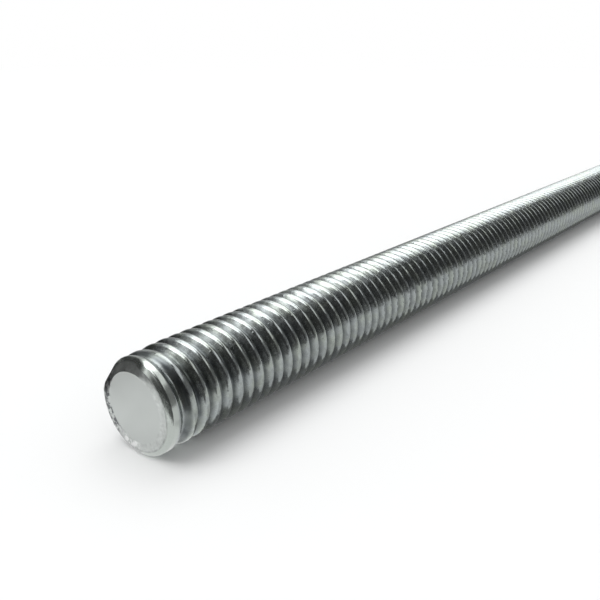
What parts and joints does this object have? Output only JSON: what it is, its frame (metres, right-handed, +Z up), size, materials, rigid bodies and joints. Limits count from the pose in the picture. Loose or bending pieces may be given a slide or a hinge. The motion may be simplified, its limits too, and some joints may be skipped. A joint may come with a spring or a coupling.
{
  "type": "threaded rod",
  "caption": "Straight steel rod threaded over its whole length, for clamping, hanging or joining parts with nuts.",
  "frame": {"origin": "centre of the near end, on the plane of its flat", "axes": "+X along the rod from the near end to the far end, +Z up as the rod lies, +Y to the left when looking along +X"},
  "size_m": [0.2, 0.0098, 0.0098],
  "materials": {
    "zinc_plated_steel": "bright zinc plating over a rolled thread, smooth on the flanks, duller and greyer on the ends"
  },
  "bodies": {
    "root": {"threaded_rod": "zinc_plated_steel"}
  },
  "joints": []
}
